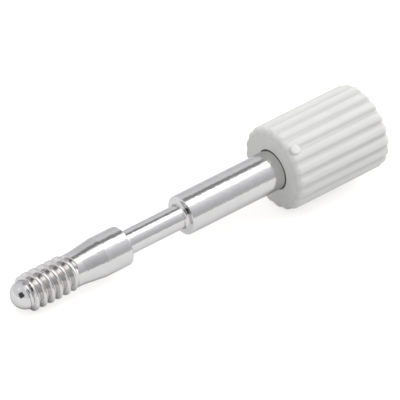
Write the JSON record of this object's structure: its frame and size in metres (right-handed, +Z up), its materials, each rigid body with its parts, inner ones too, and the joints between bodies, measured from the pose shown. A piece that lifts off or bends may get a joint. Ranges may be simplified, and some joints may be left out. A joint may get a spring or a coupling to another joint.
{
  "type": "thumb screw",
  "caption": "Long captive thumb screw: fine thread, thin neck and plain shank in plated steel, with a ribbed plastic knob for turning by hand.",
  "frame": {"origin": "on the table, under the middle of the screw's bounding box as it lies at rest", "axes": "+Z up, +X horizontally along the screw from the threaded tip to the knob, +Y sideways; the screw's own axis rises 4.5 degrees from the tip to the knob"},
  "size_m": [0.0322, 0.0064, 0.0071],
  "materials": {
    "stem": "bright plated steel with fine turning marks",
    "knob": "satin moulded plastic, off-white"
  },
  "bodies": {
    "root": {"screw_stem": "stem", "knob": "knob"}
  },
  "joints": []
}
